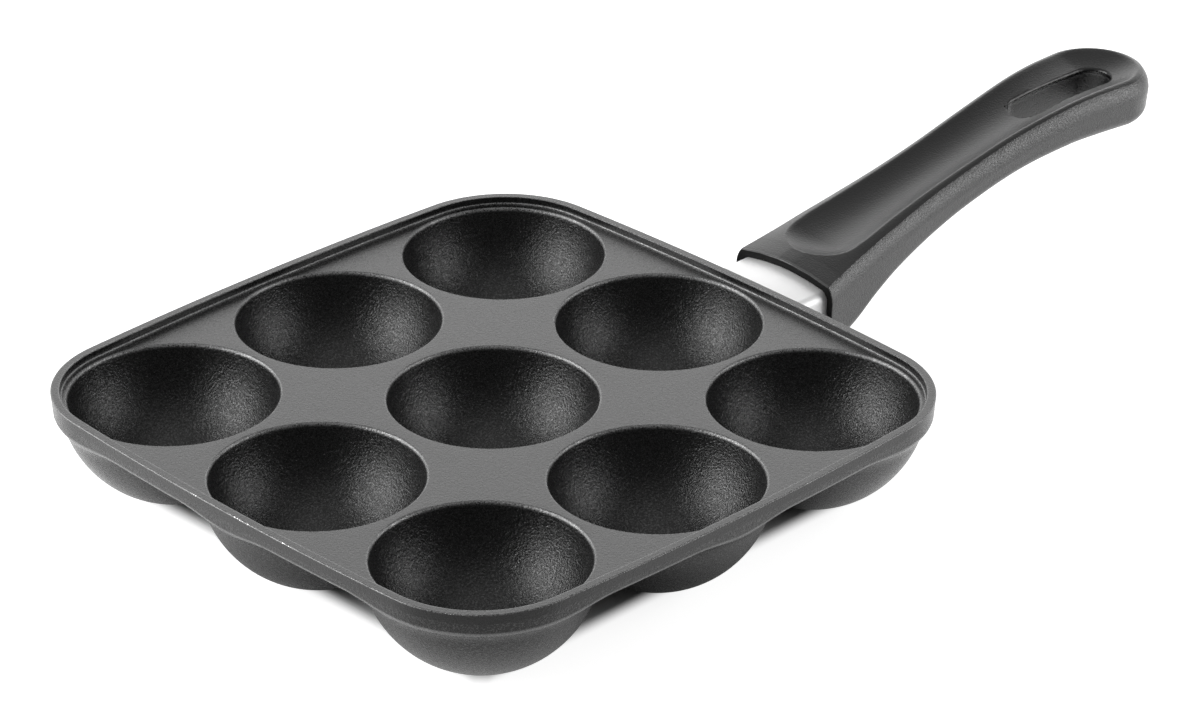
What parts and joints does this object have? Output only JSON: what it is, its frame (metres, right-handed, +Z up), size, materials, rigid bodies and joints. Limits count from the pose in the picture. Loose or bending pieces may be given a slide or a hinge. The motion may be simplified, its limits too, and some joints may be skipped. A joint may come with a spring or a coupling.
{
  "type": "filled_pancake_pan",
  "caption": "Square cast pan with round bowls for filled pancakes, a stepped rim, a steel sleeve and a moulded handle with a hanging slot.",
  "frame": {"origin": "foot of the middle bowl, at the centre of the square pan, on the surface it stands on", "axes": "+X from the pan's centre along its handle, +Y to the pan's side, +Z up out of the bowls"},
  "size_m": [0.4061, 0.2172, 0.0558],
  "materials": {
    "pan_coating": "satin non-stick coating with a fine grain over a casting",
    "sleeve_steel": "bright satin",
    "grip_moulding": "smooth top, finely grained sides",
    "fastener_steel": "plain zinc plated"
  },
  "bodies": {
    "root": {"pan_body": "pan_coating", "ferrule": "sleeve_steel", "handle_grip": "grip_moulding", "handle_screw": "fastener_steel", "lock_washer": "fastener_steel"}
  },
  "joints": []
}
